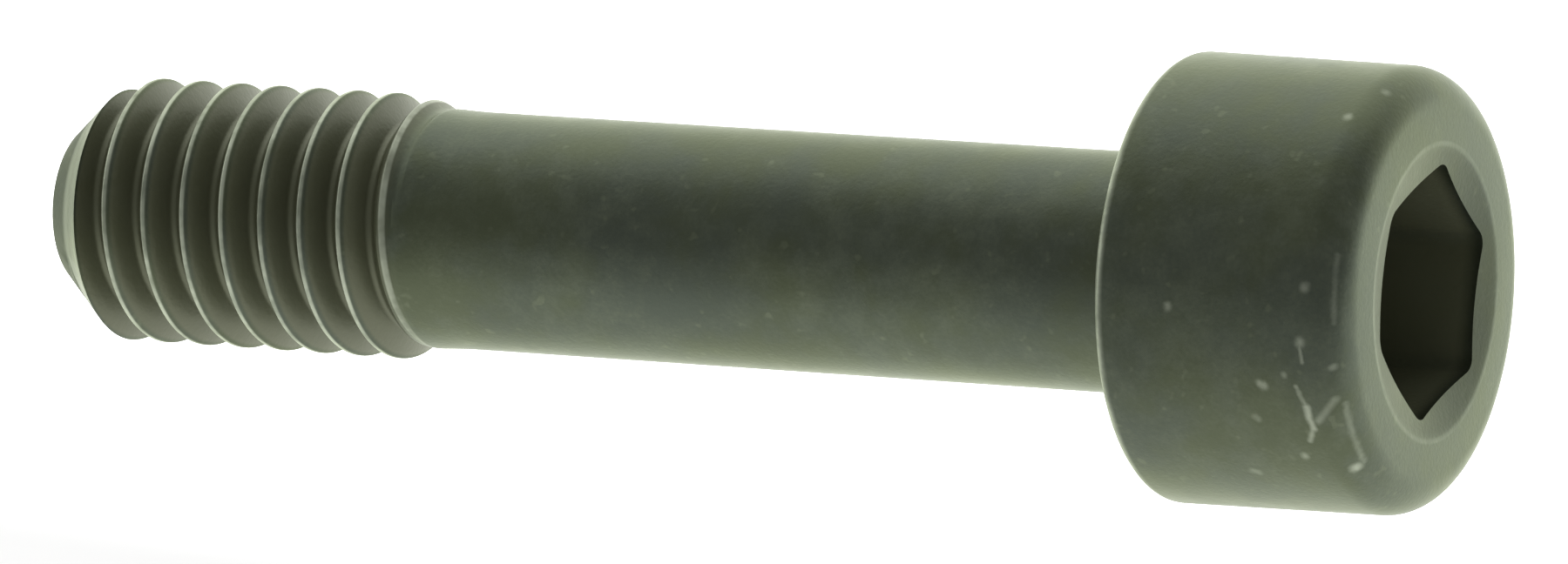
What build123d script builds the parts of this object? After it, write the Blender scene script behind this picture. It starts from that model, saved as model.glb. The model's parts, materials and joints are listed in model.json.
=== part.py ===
from build123d import *
from math import atan2, ceil, cos, degrees, radians, sin, tan
import os

# A hexagon socket head cap screw of size M6, turned and rolled from one piece of steel.
# Lengths are in millimetres and angles in degrees.
# Stations along the screw are counted from the bearing face under the head: positive through
# the head to its face, negative along the shank to the tip.

# Head
head_diameter = 10.0
head_height = 6.0
head_draft = 0.05
head_corner_radius = 0.9
face_crown = 0.04
rim_chamfer = 0.3

# Socket
socket_across_flats = 5.0
socket_depth = 3.0
socket_corner_radius = 0.2
socket_floor_angle = 152.0
socket_turn = 39.2
countersink_diameter = 6.05
countersink_angle = 110.0

# Shank
length_under_head = 27.7
shank_diameter = 5.37
under_head_radius = 0.4

# Thread, right-hand: its crests are full over the thread length, counted from the tip. The
# roots start to rise a little before the crests start to fade.
thread_diameter = 6.0
thread_pitch = 1.0
flank_angle = 60.0
thread_length = 8.45
crest_fade_angle = 26.0
root_lead = 0.2
root_fade_length = 1.05

# Tip
tip_diameter = 3.6
tip_chamfer_length = 1.3

# How far a cutting shape stands clear of the surface that it cuts
clearance = 0.05

head_radius = head_diameter / 2
face_radius = head_radius - head_draft
shank_radius = shank_diameter / 2
thread_radius = thread_diameter / 2
tip_radius = tip_diameter / 2
tip_station = -length_under_head
first_crest_station = tip_station + tip_chamfer_length

# The section of the groove between two ridges. The crests are an eighth of the pitch wide and
# the flat roots a sixth, which gives the root diameter of a rolled thread.
half_flank = radians(flank_angle / 2)
sharp_height = thread_pitch / 2 / tan(half_flank)
crest_width = thread_pitch / 8
root_width = thread_pitch / 6
groove_apex_radius = thread_radius - sharp_height * (1 - crest_width / thread_pitch)
groove_outer_radius = thread_radius + clearance
groove_mouth = (groove_outer_radius - groove_apex_radius) * tan(half_flank)
root_bottom_radius = groove_apex_radius + root_width / 2 / tan(half_flank)
buried_radius = root_bottom_radius - clearance

# Where the thread runs out into the shank
crest_station = tip_station + thread_length
crest_fade_slope = tan(radians(crest_fade_angle))
buried_crest_station = crest_station + (thread_radius - buried_radius) / crest_fade_slope
root_station = crest_station - root_lead
thread_end = root_station + root_fade_length
root_fade_slope = (shank_radius - root_bottom_radius) / root_fade_length
buried_root_station = root_station - clearance / root_fade_slope

# The screw is modelled standing on its tip, with its axis on Z and the middle of its bearing
# face at zero. X is the side that points up once the screw lies down.

# One turn of the groove. It starts on the upper side, clear of the tip, and is timed so that
# the first full crest lies on the underside where the chamfer of the tip ends.
groove_start = first_crest_station - 2 * thread_pitch
groove_turns = ceil((thread_end - groove_start) / thread_pitch) + 1

with BuildPart() as groove_turn:
    with BuildLine() as turn_path:
        Helix(thread_pitch, thread_pitch, root_bottom_radius, center=(0, 0, groove_start))
    with BuildSketch(Plane.XZ) as groove_section:
        with BuildLine():
            Polyline(
                (groove_outer_radius, groove_start - groove_mouth),
                (groove_outer_radius, groove_start + groove_mouth),
                (root_bottom_radius, groove_start + root_width / 2),
                (root_bottom_radius, groove_start - root_width / 2),
                close=True,
            )
        make_face()
    sweep(path=turn_path.line, is_frenet=True)

# The sizes of the head and its socket that follow from the others
fillet_edge_radius = shank_radius + under_head_radius
hexagon_radius = socket_across_flats / 2 / cos(radians(30))
floor_station = head_height - socket_depth
floor_cone_radius = socket_across_flats / 2
floor_cone_depth = floor_cone_radius / tan(radians(socket_floor_angle / 2))
countersink_radius = countersink_diameter / 2
countersink_slope = tan(radians(countersink_angle / 2))
face_width = face_radius - max(countersink_radius, hexagon_radius)
face_corner_radius = min(head_corner_radius, 0.95 * face_width)

with BuildPart() as standing_screw:
    # The threaded end: a chamfered cylinder whose last crests sink into the shank.
    with BuildSketch(Plane.XZ) as threaded_profile:
        with BuildLine():
            Polyline(
                (0, tip_station),
                (tip_radius, tip_station),
                (thread_radius, first_crest_station),
                (thread_radius, crest_station),
                (buried_radius, buried_crest_station),
                (0, buried_crest_station),
                close=True,
            )
        make_face()
    revolve(axis=Axis.Z)
    for turn in range(groove_turns):
        with Locations((0, 0, turn * thread_pitch)):
            add(groove_turn.part, mode=Mode.SUBTRACT)

    # The shank: the roots of the thread rise to it, and a fillet carries it into the head.
    with BuildSketch(Plane.XZ) as shank_profile:
        with BuildLine():
            Polyline(
                (0, buried_root_station),
                (buried_radius, buried_root_station),
                (shank_radius, thread_end),
                (shank_radius, -under_head_radius),
            )
            CenterArc((fillet_edge_radius, -under_head_radius), under_head_radius, 90, 90)
            Polyline(
                (fillet_edge_radius, 0),
                (fillet_edge_radius, rim_chamfer),
                (0, rim_chamfer),
                (0, buried_root_station),
            )
        make_face()
    revolve(axis=Axis.Z)

    # The head: a broken edge underneath, slightly tapered sides, a full corner and a low crown.
    with BuildSketch(Plane.XZ) as head_profile:
        with BuildLine():
            Polyline(
                (0, 0),
                (head_radius - rim_chamfer, 0),
                (head_radius, rim_chamfer),
                (face_radius, head_height - face_crown),
                (countersink_radius, head_height),
                (0, head_height),
                close=True,
            )
        make_face()
        face_corner = head_profile.vertices().sort_by_distance((face_radius, head_height))[0]
        fillet(face_corner, face_corner_radius)
    revolve(axis=Axis.Z)

    # The hexagon socket, its shallow conical floor and the countersink round its mouth.
    with BuildSketch(Plane.XY.offset(floor_station)) as hexagon:
        RegularPolygon(hexagon_radius, 6, rotation=socket_turn)
        fillet(hexagon.vertices(), socket_corner_radius)
    extrude(amount=socket_depth + clearance, mode=Mode.SUBTRACT)
    with BuildSketch(Plane.XZ) as socket_floor:
        with BuildLine():
            Polyline(
                (0, floor_station + clearance),
                (floor_cone_radius, floor_station + clearance),
                (floor_cone_radius, floor_station),
                (0, floor_station - floor_cone_depth),
                close=True,
            )
        make_face()
    revolve(axis=Axis.Z, mode=Mode.SUBTRACT)
    with BuildSketch(Plane.XZ) as countersink:
        with BuildLine():
            Polyline(
                (0, head_height + clearance),
                (countersink_radius + clearance * countersink_slope, head_height + clearance),
                (0, head_height - countersink_radius / countersink_slope),
                close=True,
            )
        make_face()
    revolve(axis=Axis.Z, mode=Mode.SUBTRACT)

# The screw laid down. It rests on the rim of its head, where the chamfer ends, and on the
# first full crest of its thread, so its axis rises towards the head by this angle.
rest_tilt = atan2(head_radius - thread_radius, rim_chamfer - first_crest_station)
bearing_height = head_radius * cos(rest_tilt) - rim_chamfer * sin(rest_tilt)

# The origin is on the floor, under the middle of the overall length.
lying_box = standing_screw.part.rotate(Axis.Y, 90 - degrees(rest_tilt)).bounding_box()
lying_plane = Plane(
    origin=(-lying_box.center().X, 0, bearing_height),
    x_dir=(-sin(rest_tilt), 0, cos(rest_tilt)),
    z_dir=(cos(rest_tilt), 0, sin(rest_tilt)),
)

with BuildPart(lying_plane) as cap_screw:
    add(standing_screw.part)

cap_screw.part.label = "cap_screw"
os.makedirs("parts", exist_ok=True)
export_step(cap_screw.part, "parts/cap_screw.step")
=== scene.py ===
import json
from math import ceil, cos, pi, radians, sin, tan

import bpy
from bpy.props import FloatProperty, FloatVectorProperty, IntProperty, PointerProperty
from mathutils import Matrix, Vector


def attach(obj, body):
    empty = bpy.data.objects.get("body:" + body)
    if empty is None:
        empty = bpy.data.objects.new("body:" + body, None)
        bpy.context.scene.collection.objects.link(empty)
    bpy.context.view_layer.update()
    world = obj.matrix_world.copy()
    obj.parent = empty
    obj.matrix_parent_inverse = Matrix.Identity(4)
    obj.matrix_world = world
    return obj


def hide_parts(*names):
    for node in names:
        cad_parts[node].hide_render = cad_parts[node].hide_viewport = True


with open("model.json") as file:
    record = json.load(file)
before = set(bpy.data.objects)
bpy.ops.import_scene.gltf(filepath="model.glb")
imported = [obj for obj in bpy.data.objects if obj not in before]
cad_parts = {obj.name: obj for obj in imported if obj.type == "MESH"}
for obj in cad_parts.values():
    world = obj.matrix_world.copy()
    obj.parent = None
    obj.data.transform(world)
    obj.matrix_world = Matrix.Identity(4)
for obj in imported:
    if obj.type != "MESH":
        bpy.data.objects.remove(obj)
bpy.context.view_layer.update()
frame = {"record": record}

bl_info = {
    "name": "Hexagon Socket Head Cap Screw",
    "version": (1, 0, 0),
    "blender": (4, 5, 0),
    "location": "View3D > Sidebar > Cap Screw",
    "description": "Models a phosphated M6 cap screw on its packed frame and sets up its stage",
    "category": "Add Mesh",
}

# The screw's mounts give its place: the socket's mount stands in the middle of the head's face,
# and its axis points out of the socket.
MOUNTS = {mount["name"]: mount for mount in frame["record"]["mounts"]}
SCREW_AXIS = Vector(MOUNTS["hex_socket"]["axis"]).normalized()
FACE_CENTRE = Vector(MOUNTS["hex_socket"]["pos_m"])

# Nicks and scratches on the side of the head, as the photograph shows them: the angle round the
# head in degrees, 0 on top and 90 at the front, the station above the bearing face, the length
# and width of the stroke in millimetres, its lean away from the round direction in degrees, and
# how bare it is.
HEAD_NICKS = (
    (74, 5.1, 0.02, 0.20, 0, 0.7),
    (81, 1.85, 0.02, 0.18, 0, 0.6),
    (88, 5.0, 0.02, 0.20, 0, 0.6),
    (91, 5.0, 0.40, 0.08, 4, 0.5),
    (95, 5.65, 0.02, 0.14, 0, 0.4),
    (97, 4.55, 0.02, 0.14, 0, 0.4),
    (100, 4.0, 0.10, 0.18, 60, 0.65),
    (110, 3.7, 0.08, 0.16, 50, 0.4),
    (122, 4.6, 0.02, 0.18, 0, 0.5),
    (128, 5.6, 0.04, 0.22, 0, 0.9),
    (130, 3.2, 0.10, 0.20, 70, 0.35),
    (11, 5.5, 0.02, 0.18, 0, 0.4),
    (25, 5.1, 0.02, 0.20, 0, 0.6),
    (103, 4.9, 0.56, 0.10, 21, 0.5),
    (109, 5.0, 0.56, 0.16, 5, 0.9),
    (114, 4.95, 0.44, 0.12, -24, 0.6),
    (107, 5.4, 0.64, 0.16, -41, 0.45),
    (74, 5.7, 1.60, 0.09, 0, 0.3),
    (117, 5.76, 1.90, 0.10, 0, 0.3),
)

# The screw is modelled standing on Z at a thousand times its size, in millimetres, because its
# smallest edges are shorter than the distance at which Blender's tools merge points.
MM = 0.001
TO_MM = 1000.0


class ScrewSizes(bpy.types.PropertyGroup):
    """Sizes of the cap screw"""

    head_diameter: FloatProperty(
        name="Head diameter", description="Across the head under its rounded corner",
        default=0.010, precision=5, unit="LENGTH",
    )
    head_height: FloatProperty(
        name="Head height", description="From the bearing face to the head's face",
        default=0.006, precision=5, unit="LENGTH",
    )
    length_under_head: FloatProperty(
        name="Length", description="From the bearing face to the tip",
        default=0.0277, precision=5, unit="LENGTH",
    )
    shank_diameter: FloatProperty(
        name="Shank diameter", description="Across the plain shank",
        default=0.00537, precision=5, unit="LENGTH",
    )
    thread_diameter: FloatProperty(
        name="Thread diameter", description="Across the crests of the thread",
        default=0.006, precision=5, unit="LENGTH",
    )
    thread_pitch: FloatProperty(
        name="Pitch", description="From one crest of the thread to the next",
        default=0.001, precision=5, unit="LENGTH",
    )
    thread_length: FloatProperty(
        name="Thread length", description="From the tip to the end of the full crests",
        default=0.00845, precision=5, unit="LENGTH",
    )
    socket_across_flats: FloatProperty(
        name="Socket across flats", description="Between opposite walls of the hexagon",
        default=0.005, precision=5, unit="LENGTH",
    )
    socket_depth: FloatProperty(
        name="Socket depth", description="From the head's face to the socket's floor",
        default=0.003, precision=5, unit="LENGTH",
    )
    countersink_diameter: FloatProperty(
        name="Countersink diameter", description="Across the mouth of the countersink",
        default=0.00605, precision=5, unit="LENGTH",
    )
    segments: IntProperty(
        name="Segments", description="Facets round the screw", default=144, min=24, max=256,
    )


class ScrewColours(bpy.types.PropertyGroup):
    """Colours of the cap screw and its stage"""

    phosphate: FloatVectorProperty(
        name="Phosphate", description="Main colour of the finish",
        subtype="COLOR", size=3, min=0, max=1, default=(0.052, 0.062, 0.036),
    )
    phosphate_cool: FloatVectorProperty(
        name="Phosphate, cool", description="Colour of the greyer patches of the finish",
        subtype="COLOR", size=3, min=0, max=1, default=(0.047, 0.057, 0.044),
    )
    phosphate_light: FloatVectorProperty(
        name="Phosphate, light", description="Colour where the finish is thin or rubbed",
        subtype="COLOR", size=3, min=0, max=1, default=(0.10, 0.115, 0.075),
    )
    # Painted light: lighter and browner than the finish, it lifts the shade between the crests and
    # on the socket's walls.
    thread_valley: FloatVectorProperty(
        name="Thread valley", description="Colour of the dull coat between the crests",
        subtype="COLOR", size=3, min=0, max=1, default=(0.074, 0.077, 0.045),
    )
    # Painted shade: a dark colour laid over the dish round the socket's mouth.
    dish_painted_shade: FloatVectorProperty(
        name="Dish", description="Colour of the darker dish round the socket's mouth",
        subtype="COLOR", size=3, min=0, max=1, default=(0.015, 0.018, 0.010),
    )
    # Also the colour of the painted highlights on the edges of the tip, the head's rim and the
    # socket's mouth.
    bare_steel_and_highlight: FloatVectorProperty(
        name="Bare steel", description="Colour of crests and nicks rubbed through the finish",
        subtype="COLOR", size=3, min=0, max=1, default=(0.34, 0.37, 0.29),
    )
    floor: FloatVectorProperty(
        name="Floor", description="Colour of the floor",
        subtype="COLOR", size=3, min=0, max=1, default=(0.5, 0.5, 0.495),
    )


def deselect_all():
    if bpy.context.mode != "OBJECT":
        bpy.ops.object.mode_set(mode="OBJECT")
    bpy.ops.object.select_all(action="DESELECT")


def make_active(piece):
    deselect_all()
    piece.select_set(True)
    bpy.context.view_layer.objects.active = piece


def draw_profile(name, points):
    """A chain of edges through (radius, station) points, drawn from one vertex"""
    deselect_all()
    bpy.ops.mesh.primitive_plane_add(size=1)
    piece = bpy.context.object
    piece.name = name
    bpy.ops.object.mode_set(mode="EDIT")
    bpy.ops.mesh.merge(type="CENTER")
    bpy.ops.transform.translate(value=(points[0][0], 0, points[0][1]))
    for start, end in zip(points, points[1:]):
        step = (end[0] - start[0], 0, end[1] - start[1])
        bpy.ops.mesh.extrude_region_move(TRANSFORM_OT_translate={"value": step})
    bpy.ops.object.mode_set(mode="OBJECT")
    return piece


def turn_profile(name, points, segments):
    """A solid of revolution whose profile starts and ends on the axis"""
    piece = draw_profile(name, points)
    bpy.ops.object.mode_set(mode="EDIT")
    bpy.ops.mesh.select_all(action="SELECT")
    bpy.ops.mesh.spin(steps=segments, angle=2 * pi, center=(0, 0, 0), axis=(0, 0, 1))
    bpy.ops.mesh.select_all(action="SELECT")
    bpy.ops.mesh.remove_doubles(threshold=0.0005)
    bpy.ops.mesh.normals_make_consistent(inside=False)
    bpy.ops.object.mode_set(mode="OBJECT")
    return piece


def apply_boolean(piece, cutter, operation):
    """Joins, cuts or trims piece with cutter, which is used up"""
    make_active(piece)
    bpy.ops.object.modifier_add(type="BOOLEAN")
    boolean = piece.modifiers[-1]
    boolean.operation = operation
    boolean.solver = "EXACT"
    boolean.object = cutter
    bpy.ops.object.modifier_apply(modifier=boolean.name)
    mesh = cutter.data
    bpy.data.objects.remove(cutter)
    bpy.data.meshes.remove(mesh)


def smooth_step(low, high, value):
    share = min(max((value - low) / (high - low), 0), 1)
    return share * share * (3 - 2 * share)


def arc_points(centre, radius, start, end, steps):
    """Points on an arc in the (radius, station) plane, angles in degrees"""
    angles = [radians(start + (end - start) * i / steps) for i in range(steps + 1)]
    return [(centre[0] + radius * cos(a), centre[1] + radius * sin(a)) for a in angles]


def corner_points(before, corner, after, radius, steps):
    """Points on the arc that rounds a corner between two straight stretches"""
    corner = Vector(corner)
    back = (Vector(before) - corner).normalized()
    on = (Vector(after) - corner).normalized()
    half = back.angle(on) / 2
    reach = radius / tan(half)
    centre = corner + (back + on).normalized() * radius / sin(half)
    first = corner + back * reach - centre
    last = corner + on * reach - centre
    sweep = first.angle_signed(last)
    points = []
    for i in range(steps + 1):
        spoke = Matrix.Rotation(-sweep * i / steps, 2) @ first
        points.append(tuple(centre + spoke))
    return points


def straight_points(start, end, steps):
    """Points between two ends, without them"""
    return [
        (start[0] + (end[0] - start[0]) * i / steps, start[1] + (end[1] - start[1]) * i / steps)
        for i in range(1, steps)
    ]


class Wire:
    """A node socket on which Python's operators add Math nodes"""

    def __init__(self, tree, socket):
        self.tree = tree
        self.socket = socket

    def math(self, operation, *values):
        sockets = dict(enumerate((self, *values)))
        return add_node(self.tree, "ShaderNodeMath", {"operation": operation}, sockets)

    def __add__(self, other):
        return self.math("ADD", other)

    def __radd__(self, other):
        return self.math("ADD", other)

    def __sub__(self, other):
        return self.math("SUBTRACT", other)

    def __rsub__(self, other):
        return self.math("MULTIPLY", -1).math("ADD", other)

    def __mul__(self, other):
        return self.math("MULTIPLY", other)

    def __rmul__(self, other):
        return self.math("MULTIPLY", other)

    def rise(self, low, high):
        """0 at low and 1 at high, smooth between, also where low is the larger one"""
        return add_node(
            self.tree, "ShaderNodeMapRange", {"interpolation_type": "SMOOTHSTEP"},
            {"Value": self, "From Min": low, "From Max": high}, "Result",
        )

    def beside(self, output):
        """Another output of the same node"""
        return Wire(self.tree, self.socket.node.outputs[output])


def connect(tree, value, target):
    if isinstance(value, Wire):
        tree.links.new(value.socket, target)
    else:
        target.default_value = value


def add_node(tree, kind, settings, sockets, output=0):
    """Adds a node, sets it, fills its sockets, by name or place, and gives one output"""
    node = tree.nodes.new(kind)
    for key, value in settings.items():
        setattr(node, key, value)
    for key, value in sockets.items():
        connect(tree, value, node.inputs[key])
    return Wire(tree, node.outputs[output])


class Shader:
    """A material under construction"""

    def __init__(self, name):
        self.material = bpy.data.materials.new(name)
        self.material.use_nodes = True
        self.tree = self.material.node_tree
        self.surface = self.tree.nodes["Principled BSDF"]

    def node(self, kind, settings=None, output=0, **sockets):
        """Adds a node to the material. A space in a socket's name is written as _"""
        named = {key.replace("_", " "): value for key, value in sockets.items()}
        return add_node(self.tree, kind, settings or {}, named, output)

    def mix_colour(self, factor, first, second):
        """A Mix node has its sockets once for each type: those for colours are 6 and 7, out 2"""
        first, second = (
            colour if isinstance(colour, Wire) else (*colour, 1) for colour in (first, second)
        )
        sockets = {0: factor, 6: first, 7: second}
        return add_node(self.tree, "ShaderNodeMix", {"data_type": "RGBA"}, sockets, 2)

    def set(self, **sockets):
        for key, value in sockets.items():
            connect(self.tree, value, self.surface.inputs[key.replace("_", " ")])

    def place(self):
        return self.node("ShaderNodeTexCoord", output="Object")

    def noise(self, place, scale, detail=3.0, roughness=0.5):
        return self.node(
            "ShaderNodeTexNoise", output="Fac",
            Vector=place, Scale=scale, Detail=detail, Roughness=roughness,
        )


class Finish(Shader):
    """A material that knows the screw's own cylinder coordinates, in millimetres"""

    def __init__(self, name, screw):
        super().__init__(name)
        self.head_radius = screw.head_radius
        up, side, base = lying_axes()
        frame_turn = Matrix((up, side, SCREW_AXIS)).transposed().to_euler()
        self.local = self.node(
            "ShaderNodeMapping", {"vector_type": "TEXTURE"}, Vector=self.place(),
            Location=tuple(base), Rotation=tuple(frame_turn), Scale=(MM, MM, MM),
        )
        split = self.node("ShaderNodeSeparateXYZ", Vector=self.local)
        height = split.beside(1)
        self.station = split.beside(2)
        self.radius = (split * split + height * height).math("SQRT")
        # The angle round the screw: 0 on top as it lies, positive towards the front.
        self.angle = height.math("ARCTAN2", split)

    def mark(self, around, along, angle, station, length, width, lean):
        """1 on a short stroke on the side of the head, falling softly to 0 round it"""
        across = around - radians(angle) * self.head_radius
        upward = along - station
        down = across * cos(radians(lean)) + upward * sin(radians(lean))
        off = upward * cos(radians(lean)) - across * sin(radians(lean))
        past = (down.math("ABSOLUTE") - length / 2).math("MAXIMUM", 0.0)
        return (past * past + off * off).math("SQRT").rise(width * 0.9, 0.0)


def lying_axes():
    """The screw's own X and Y as it lies, and the middle of its bearing face"""
    up = Vector((-SCREW_AXIS.z, 0, SCREW_AXIS.x))
    height = (FACE_CENTRE - Vector(MOUNTS["bearing_face"]["pos_m"])).dot(SCREW_AXIS)
    return up, SCREW_AXIS.cross(up), FACE_CENTRE - SCREW_AXIS * height


def phosphate_material(colours, screw):
    """Olive-black phosphate, mottled, rubbed light on the crests and nicked on the head"""
    pitch = screw.pitch
    tip_station = screw.tip_station
    tip_radius = screw.tip_radius
    chamfer_slope = (screw.thread_radius - tip_radius) / screw.chamfer_length
    crest_start = screw.chamfer_station
    crest_station = screw.crest_station
    first_crest = screw.first_crest
    head_radius = screw.head_radius
    face = screw.head_height
    mouth_radius = screw.mouth_radius
    corner_radius = screw.flats / 2 / cos(radians(30))
    shader = Finish("phosphated_steel", screw)
    grain = shader.noise(shader.local, 9, 2.0, 0.6)
    mottle = shader.noise(shader.local, 1.4, 4.0, 0.6)
    cloud = shader.noise(shader.local, 0.3, 3.0, 0.5)
    elsewhere = shader.node("ShaderNodeMapping", Vector=shader.local, Location=(9, 4, 2))
    hue = shader.noise(elsewhere, 0.35, 2.0)

    body = shader.mix_colour(
        (hue * 0.7 + mottle * 0.3).rise(0.38, 0.62),
        tuple(colours.phosphate), tuple(colours.phosphate_cool),
    )
    lighter = (grain * 0.2 + mottle * 0.45 + cloud * 0.35).rise(0.42, 0.72)
    specks = shader.noise(shader.local, 3.0, 1.0).rise(0.66, 0.78)
    lighter = lighter * 0.45 + specks * 0.35
    body = shader.mix_colour(lighter, body, tuple(colours.phosphate_light))

    # The crests of the thread follow a helix, and are rubbed where it comes to its full height.
    turned = (shader.station - first_crest) * (2 * pi / pitch) - shader.angle
    crest = (turned + 0.2).math("COSINE").rise(0.82, 0.97)
    in_thread = shader.station.rise(crest_station + 0.88, crest_station + 0.45)
    uneven = shader.noise(shader.local, 0.9, 3.0, 0.7).rise(0.30, 0.66) * 0.6 + 0.4
    rubbed = crest * in_thread * shader.station.rise(crest_start - 0.3, crest_start) * uneven * 0.8

    # Painted light: between the crests and on the walls of the socket the colour is lighter,
    # browner and less metallic, lifting their shade. The chamfer of the tip has none of it.
    envelope = (shader.station - tip_station) * chamfer_slope + tip_radius
    depth = envelope.math("MINIMUM", screw.thread_radius) - shader.radius
    valley = depth.rise(0.02, 0.12) * shader.station.rise(crest_station + 0.8, crest_station + 0.2)
    socket = shader.radius.rise(corner_radius + 0.06, corner_radius - 0.14)
    socket = socket * shader.station.rise(face - 0.15, face - 0.4)
    socket = socket * shader.station.rise(face - 5, face - 4)
    dull = valley.math("MAXIMUM", socket)
    body = shader.mix_colour(dull * 0.8, body, tuple(colours.thread_valley))
    # Painted shade: the dish round the socket's mouth is darkened.
    dish_painted_shade = shader.radius.rise(mouth_radius + 0.075, mouth_radius - 0.225)
    dish_painted_shade = dish_painted_shade * shader.station.rise(face - 0.6, face - 0.3)
    body = shader.mix_colour(dish_painted_shade * 0.5, body, tuple(colours.dish_painted_shade))

    # Edges lightened towards steel: where the thread cuts the chamfer of the tip, rubbed and with a
    # painted highlight; the rim under the head and the mouth of the socket, painted highlights.
    chamfer_edge = shader.radius.rise(tip_radius + 0.48, tip_radius + 0.62)
    chamfer_edge = chamfer_edge * depth.rise(0.06, 0.01)
    chamfer_edge = chamfer_edge * shader.station.rise(tip_station + 0.9, tip_station + 0.7)
    # Painted highlight along the rim under the head.
    rim = shader.radius.rise(head_radius - 0.3, head_radius - 0.1)
    rim = rim * shader.station.rise(0.30, 0.10) * uneven
    # Painted highlight on the mouth of the socket.
    mouth = shader.radius.rise(mouth_radius + 0.085, mouth_radius + 0.025)
    mouth = mouth * shader.radius.rise(mouth_radius - 0.095, mouth_radius - 0.015)
    mouth = mouth * shader.station.rise(face - 0.3, face - 0.15) * uneven
    edges = (chamfer_edge * 0.3).math("MAXIMUM", rim * 0.7).math("MAXIMUM", mouth * 0.12)

    # Nicks and scratches on the head: angle, station, length, width, lean and strength.
    ragged = (shader.noise(shader.local, 4.0, 2.0, 0.6) - 0.5) * 0.09
    around = shader.angle * head_radius + ragged
    along = shader.station - ragged
    nicks = None
    for angle, station, length, width, lean, strength in HEAD_NICKS:
        nick = shader.mark(around, along, angle, station, length, width, lean) * strength
        nicks = nick if nicks is None else nicks.math("MAXIMUM", nick)
    nicks = nicks * shader.radius.rise(head_radius - 1.0, head_radius - 0.4)
    nicks = nicks * (uneven * 0.4 + 0.25)

    # Rubbed crests, nicks and the painted highlights on the edges lighten the colour towards steel.
    bare_and_highlit = rubbed.math("MAXIMUM", nicks).math("MAXIMUM", edges)
    colour = shader.mix_colour(bare_and_highlit, body, tuple(colours.bare_steel_and_highlight))
    tip = shader.station.rise(tip_station + 1.0, tip_station + 0.5)
    bump = shader.node(
        "ShaderNodeBump", Strength=0.35, Distance=0.00003,
        Height=grain * 0.5 + mottle * 0.3 - nicks * 1.5,
    )
    shader.set(
        Base_Color=colour, Metallic=0.75 - dull * 0.45,
        Roughness=0.38 + (mottle - 0.5) * 0.16 + tip * 0.3,
        IOR=1.5, Specular_Tint=(0.94, 1.0, 0.80, 1), Normal=bump,
    )
    return shader.material


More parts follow.
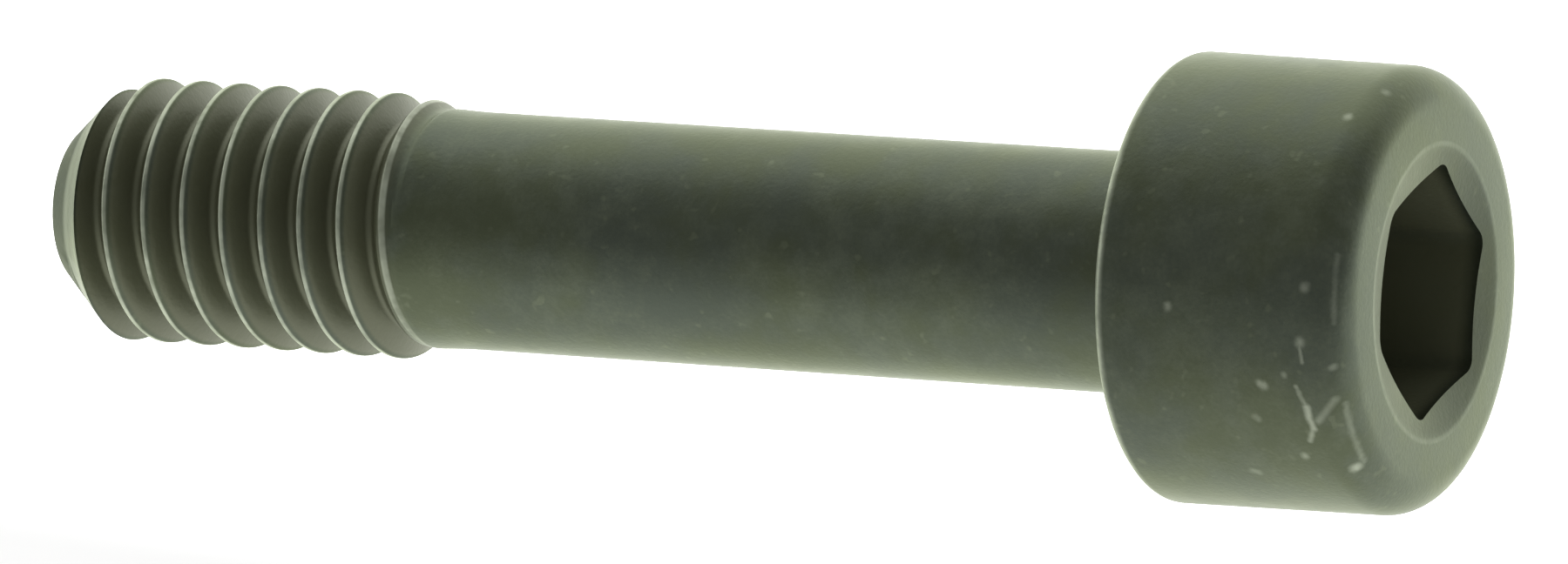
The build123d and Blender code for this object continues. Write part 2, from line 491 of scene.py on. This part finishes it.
class CAPSCREW_OT_add_screw(bpy.types.Operator):
    """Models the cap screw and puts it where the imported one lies"""

    bl_idname = "capscrew.add_screw"
    bl_label = "Add Cap Screw"

    def execute(self, context):
        sizes = context.scene.cap_screw_sizes
        self.segments = sizes.segments
        self.head_radius = sizes.head_diameter * TO_MM / 2
        self.head_height = sizes.head_height * TO_MM
        self.tip_station = -sizes.length_under_head * TO_MM
        self.shank_radius = sizes.shank_diameter * TO_MM / 2
        self.thread_radius = sizes.thread_diameter * TO_MM / 2
        self.pitch = sizes.thread_pitch * TO_MM
        self.crest_station = self.tip_station + sizes.thread_length * TO_MM
        self.flats = sizes.socket_across_flats * TO_MM
        self.floor_station = self.head_height - sizes.socket_depth * TO_MM
        # The photograph shows the countersink as a dish that is a little wider than it.
        self.mouth_radius = sizes.countersink_diameter * TO_MM / 2 + 0.25
        self.tip_radius = 1.8
        self.chamfer_length = 1.3
        self.chamfer_station = self.tip_station + self.chamfer_length
        self.thread_end = self.crest_station + 1.9

        screw = self.thread()
        apply_boolean(screw, self.head_and_shank(), "UNION")
        apply_boolean(screw, self.hexagon(), "DIFFERENCE")
        apply_boolean(screw, self.socket_floor(), "DIFFERENCE")
        self.soften_socket(screw)
        self.lay_down(screw)
        screw.data.materials.clear()
        screw.data.materials.append(phosphate_material(context.scene.cap_screw_colours, self))
        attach(screw, "root")
        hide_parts("cap_screw")
        return {"FINISHED"}

    def thread(self):
        """The rolled thread, trimmed by the chamfer of the tip and sunk where it runs out"""
        half_flank = radians(30)
        root_round = self.pitch / 7
        crest_round = 0.06
        apex_radius = self.thread_radius - self.pitch * 7 / 16 / tan(half_flank)
        root_centre = apex_radius + root_round / sin(half_flank)
        self.root_radius = root_centre - root_round
        root_arc = arc_points((root_centre, 0), root_round, 180, 120, 4)
        crest_corner = (self.thread_radius, self.pitch * 7 / 16)
        crest_middle = (self.thread_radius, self.pitch / 2)
        crest_arc = corner_points(root_arc[-1], crest_corner, crest_middle, crest_round, 3)
        rising = root_arc + straight_points(root_arc[-1], crest_arc[0], 3) + crest_arc
        falling = [(radius, self.pitch - station) for radius, station in reversed(rising)]
        start = self.chamfer_station - 4 * self.pitch
        self.first_crest = start + self.pitch / 2
        profile = [(radius, start + station) for radius, station in rising + falling]
        turns = ceil((self.crest_station + 2 - start) / self.pitch) + 2

        screw = draw_profile("cap_screw_dressed", profile)
        bpy.ops.object.modifier_add(type="SCREW")
        helix = screw.modifiers[-1]
        helix.angle = 2 * pi
        helix.screw_offset = self.pitch
        helix.iterations = turns
        helix.steps = self.segments
        helix.render_steps = self.segments
        helix.use_merge_vertices = False
        bpy.ops.object.modifier_apply(modifier=helix.name)
        bpy.ops.object.mode_set(mode="EDIT")
        bpy.ops.mesh.select_all(action="SELECT")
        bpy.ops.mesh.remove_doubles(threshold=0.001)
        # Each end of the helix is closed by a fan to a point on the axis.
        bpy.ops.mesh.select_all(action="DESELECT")
        bpy.ops.object.mode_set(mode="OBJECT")
        middle = start + turns * self.pitch / 2 + self.pitch / 2
        for low_end in (True, False):
            uses = [0] * len(screw.data.edges)
            for corner in screw.data.loops:
                uses[corner.edge_index] += 1
            for edge, count in zip(screw.data.edges, uses):
                at = screw.data.vertices[edge.vertices[0]].co.z
                edge.select = count == 1 and (at < middle) == low_end
            for vertex in screw.data.vertices:
                vertex.select = False
            bpy.ops.object.mode_set(mode="EDIT")
            bpy.ops.mesh.select_mode(type="EDGE")
            bpy.ops.mesh.extrude_region_move(TRANSFORM_OT_translate={"value": (0, 0, 0)})
            bpy.ops.mesh.merge(type="CENTER")
            bpy.ops.mesh.select_all(action="DESELECT")
            bpy.ops.mesh.select_mode(type="VERT")
            bpy.ops.object.mode_set(mode="OBJECT")
        self.run_out(screw)
        bpy.ops.object.mode_set(mode="EDIT")
        bpy.ops.mesh.select_all(action="SELECT")
        bpy.ops.mesh.normals_make_consistent(inside=False)
        bpy.ops.object.mode_set(mode="OBJECT")

        clear = 0.1
        chamfer_slope = (self.thread_radius - self.tip_radius) / self.chamfer_length
        tip = (self.tip_radius, self.tip_station)
        chamfer_top = (self.thread_radius + clear, self.chamfer_station + clear / chamfer_slope)
        envelope = turn_profile(
            "thread_envelope",
            [
                (0, self.tip_station),
                *corner_points((0, self.tip_station), tip, chamfer_top, 0.12, 4),
                chamfer_top,
                (self.thread_radius + clear, self.thread_end),
                (0, self.thread_end),
            ],
            self.segments,
        )
        apply_boolean(screw, envelope, "INTERSECT")
        return screw

    def run_out(self, screw):
        """Sinks the last crests and lifts the last root to the shank, with a low swell behind

        The root goes on further on top, where the rolling dies left last.
        """
        for vertex in screw.data.vertices:
            radius = vertex.co.xy.length
            if radius < self.root_radius - 0.01:
                continue
            root_start = self.crest_station + 0.1 + 0.05 * vertex.co.x / radius
            crest = 1 - smooth_step(self.crest_station - 0.1, self.crest_station + 0.8, vertex.co.z)
            root = 1 - smooth_step(root_start, root_start + 0.75, vertex.co.z)
            swell = 0.06 * (1 - smooth_step(self.crest_station, self.thread_end - 0.1, vertex.co.z))
            height = radius - self.shank_radius
            height = height * crest if height > 0 else height * root
            height = max(height, swell * (1 - root) - 0.4 * root)
            scale = (self.shank_radius + height) / radius
            vertex.co.x *= scale
            vertex.co.y *= scale

    def head_and_shank(self):
        """The head with its countersink, and the shank down to the roots of the thread"""
        under_head_round = 0.4
        rim_round = 0.28
        corner_round = 0.9
        mouth_round = 0.5
        draft = 0.05
        crown = 0.04
        buried = (self.root_radius - 0.2, self.thread_end - 1)
        # The shank stands a hair under the end of the thread, so that no faces coincide.
        joint = (self.shank_radius - 0.0005, self.thread_end - 0.1)
        fillet_edge = self.shank_radius + under_head_round
        face_rim = (self.head_radius - draft, self.head_height - crown)
        mouth = (self.mouth_radius, self.head_height)
        apex = (0, self.head_height - self.mouth_radius / tan(radians(77)))
        under_rim = (self.head_radius, 0)
        rim_arc = corner_points((0, 0), under_rim, face_rim, rim_round, 5)
        face_arc = corner_points(under_rim, face_rim, mouth, corner_round, 12)
        mouth_arc = corner_points(face_rim, mouth, apex, mouth_round, 4)
        profile = [
            (0, buried[1]),
            buried,
            joint,
            *straight_points(joint, (self.shank_radius, -0.4), 24),
            *arc_points((fillet_edge, -under_head_round), under_head_round, 180, 90, 5),
            *rim_arc,
            *straight_points(rim_arc[-1], face_arc[0], 12),
            *face_arc,
            *mouth_arc,
            apex,
        ]
        return turn_profile("head_and_shank", profile, self.segments)

    def hexagon(self):
        """The key's hexagon, with its corners rounded, standing on the socket's floor"""
        # Seen along the screw, a corner of the hexagon stands at this angle.
        turn = radians(39.2 - 90)
        corner_bevel = 0.26
        deselect_all()
        bpy.ops.mesh.primitive_circle_add(
            vertices=6, radius=self.flats / 2 / cos(radians(30)), fill_type="NGON",
            location=(0, 0, self.floor_station), rotation=(0, 0, turn),
        )
        piece = bpy.context.object
        bpy.ops.object.transform_apply(location=True, rotation=True, scale=True)
        bpy.ops.object.mode_set(mode="EDIT")
        rise = (0, 0, self.head_height - self.floor_station + 0.5)
        bpy.ops.mesh.extrude_region_move(TRANSFORM_OT_translate={"value": rise})
        bpy.ops.mesh.select_all(action="DESELECT")
        bpy.ops.object.mode_set(mode="OBJECT")
        for edge in piece.data.edges:
            ends = [piece.data.vertices[i].co for i in edge.vertices]
            edge.select = abs(ends[0].z - ends[1].z) > 1
        bpy.ops.object.mode_set(mode="EDIT")
        bpy.ops.mesh.select_mode(type="EDGE")
        bpy.ops.mesh.bevel(offset=corner_bevel, segments=6, affect="EDGES")
        bpy.ops.mesh.select_mode(type="VERT")
        bpy.ops.mesh.select_all(action="SELECT")
        bpy.ops.mesh.normals_make_consistent(inside=False)
        bpy.ops.object.mode_set(mode="OBJECT")
        return piece

    def socket_floor(self):
        """The shallow cone in the floor of the socket"""
        radius = self.flats / 2
        depth = radius / tan(radians(76))
        return turn_profile(
            "socket_floor",
            [
                (0, self.floor_station + 0.05),
                (radius, self.floor_station + 0.05),
                (radius, self.floor_station),
                (0, self.floor_station - depth),
            ],
            96,
        )

    def soften_socket(self, screw):
        """Merges what the booleans left close together, and shades all but the sharp edges smooth
        """
        make_active(screw)
        bpy.ops.object.mode_set(mode="EDIT")
        bpy.ops.mesh.select_all(action="SELECT")
        bpy.ops.mesh.remove_doubles(threshold=0.004)
        bpy.ops.object.mode_set(mode="OBJECT")
        bpy.ops.object.shade_smooth_by_angle(angle=radians(28))

    def lay_down(self, screw):
        """Turns the screw on its side, at its true size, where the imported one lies"""
        up, side, base = lying_axes()
        turn = Matrix((up, side, SCREW_AXIS)).transposed().to_4x4()
        make_active(screw)
        screw.matrix_world = Matrix.Translation(base) @ turn @ Matrix.Scale(MM, 4)
        bpy.ops.object.transform_apply(location=True, rotation=True, scale=True)


class CAPSCREW_OT_add_stage(bpy.types.Operator):
    """Adds the pale floor, the studio light and the camera"""

    bl_idname = "capscrew.add_stage"
    bl_label = "Add Stage"

    def execute(self, context):
        self.floor(context)
        self.lights(context)
        self.camera(context)
        return {"FINISHED"}

    def floor(self, context):
        deselect_all()
        bpy.ops.mesh.primitive_plane_add(size=3)
        floor = bpy.context.object
        floor.name = "studio_floor"
        shader = Shader("pale_floor")
        # The floor glows like the top of a light table, less in front of the screw.
        across = shader.node("ShaderNodeSeparateXYZ", output=1, Vector=shader.place())
        glow = across.rise(-0.015, -0.002)
        shader.set(
            Base_Color=(*context.scene.cap_screw_colours.floor, 1), Roughness=0.9,
            Emission_Color=shader.mix_colour(glow, (0.22, 0.22, 0.22), (1, 1, 1)),
            Emission_Strength=1.75,
        )
        floor.data.materials.append(shader.material)

    def area_light(self, name, place, aim, width, height, watts):
        direction = Vector(aim) - Vector(place)
        bpy.ops.object.light_add(
            type="AREA", location=place, rotation=direction.to_track_quat("-Z", "Y").to_euler(),
        )
        light = bpy.context.object
        light.name = name
        light.data.shape = "RECTANGLE"
        light.data.size = width
        light.data.size_y = height
        light.data.energy = watts

    def lights(self, context):
        deselect_all()
        middle = (0, 0, 0.005)
        self.area_light("top_light", (0.0, 0.10, 0.40), middle, 0.5, 0.35, 0.3)
        world = bpy.data.worlds.new("studio")
        world.use_nodes = True
        tree = world.node_tree
        # White behind, above and to the left. The front and the right stay dark, so the edges
        # of the screw are bright and its middle is dark.
        dark_side = (0.5, -0.866, 0)
        way = add_node(tree, "ShaderNodeTexCoord", {}, {}, "Generated")
        facing = add_node(
            tree, "ShaderNodeVectorMath", {"operation": "DOT_PRODUCT"},
            {0: way, 1: dark_side}, "Value",
        )
        light = facing.rise(0.25, -0.65) * 1.6 + 0.45
        background = tree.nodes["Background"]
        background.inputs["Color"].default_value = (1, 1, 1, 1)
        connect(tree, light, background.inputs["Strength"])
        context.scene.world = world
        context.scene.view_settings.view_transform = "Standard"

    def camera(self, context):
        place = Vector((155.525, -312.017, 110.543)) * MM
        right = Vector((0.89588, 0.44429, 0)).normalized()
        back = Vector((0.42468, -0.85633, 0.29384)).normalized()
        right = (right - back * right.dot(back)).normalized()
        up = back.cross(right)
        deselect_all()
        bpy.ops.object.camera_add()
        camera = bpy.context.object
        camera.name = "photo_camera"
        camera.matrix_world = (
            Matrix.Translation(place) @ Matrix((right, up, back)).transposed().to_4x4()
        )
        camera.data.sensor_width = 36
        camera.data.lens = 374.34
        camera.data.clip_start = 0.01
        camera.data.clip_end = 20
        context.scene.camera = camera


class CAPSCREW_PT_panel(bpy.types.Panel):
    """Sizes, colours and the operators of the cap screw"""

    bl_idname = "CAPSCREW_PT_panel"
    bl_label = "Cap Screw"
    bl_space_type = "VIEW_3D"
    bl_region_type = "UI"
    bl_category = "Cap Screw"

    def draw(self, context):
        layout = self.layout
        for group in (context.scene.cap_screw_sizes, context.scene.cap_screw_colours):
            for name in group.__annotations__:
                layout.prop(group, name)
        layout.operator(CAPSCREW_OT_add_screw.bl_idname)
        layout.operator(CAPSCREW_OT_add_stage.bl_idname)


CLASSES = (
    ScrewSizes,
    ScrewColours,
    CAPSCREW_OT_add_screw,
    CAPSCREW_OT_add_stage,
    CAPSCREW_PT_panel,
)


def register():
    for cls in CLASSES:
        bpy.utils.register_class(cls)
    bpy.types.Scene.cap_screw_sizes = PointerProperty(type=ScrewSizes)
    bpy.types.Scene.cap_screw_colours = PointerProperty(type=ScrewColours)


def unregister():
    del bpy.types.Scene.cap_screw_colours
    del bpy.types.Scene.cap_screw_sizes
    for cls in reversed(CLASSES):
        bpy.utils.unregister_class(cls)


def main():
    register()
    bpy.ops.capscrew.add_screw()
    bpy.ops.capscrew.add_stage()


if __name__ == "__main__":
    main()
